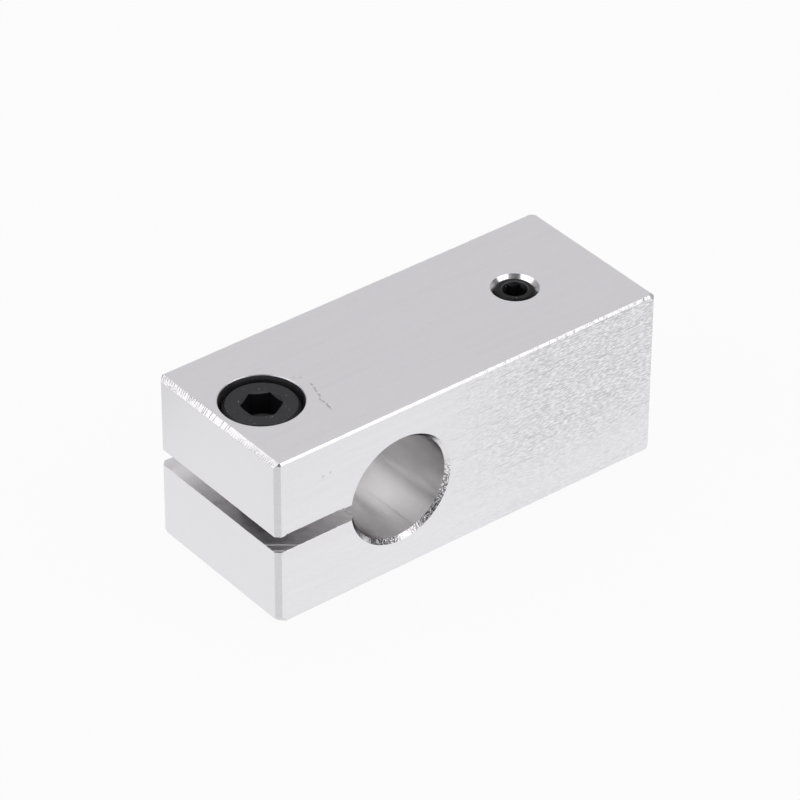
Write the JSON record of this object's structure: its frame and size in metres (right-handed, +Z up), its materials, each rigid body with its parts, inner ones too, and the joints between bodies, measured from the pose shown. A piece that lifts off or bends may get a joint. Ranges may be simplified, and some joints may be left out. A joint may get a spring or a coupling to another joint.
{
  "type": "t-type shaft clamp",
  "caption": "Square aluminium block that holds a shaft at right angles to another: a slit cross bore closed by a cap screw, and a blind end socket with a set screw.",
  "frame": {"origin": "where the axes of the cross bore and the end socket meet, at the middle of the cross bore", "axes": "+X along the block from the slit end to the end socket's mouth, +Y along the cross bore, +Z up to the screw heads"},
  "size_m": [0.0334, 0.0134, 0.0134],
  "materials": {
    "aluminium": "bare satin, drawn bar with machined ends and bores",
    "black_steel": "black oxide, slightly oiled"
  },
  "bodies": {
    "block": {"clamp_body": "aluminium"},
    "clamp_screw": {"clamp_screw": "black_steel"},
    "set_screw": {"set_screw": "black_steel"}
  },
  "joints": [
    {"name": "clamp_screw_travel", "type": "slide", "parent": "block", "child": "clamp_screw", "axis": [0, 0, 1], "range_m": [0, 0.004]},
    {"name": "set_screw_travel", "type": "slide", "parent": "block", "child": "set_screw", "axis": [0, 0, 1], "range_m": [-0.001, 0.0025]}
  ]
}
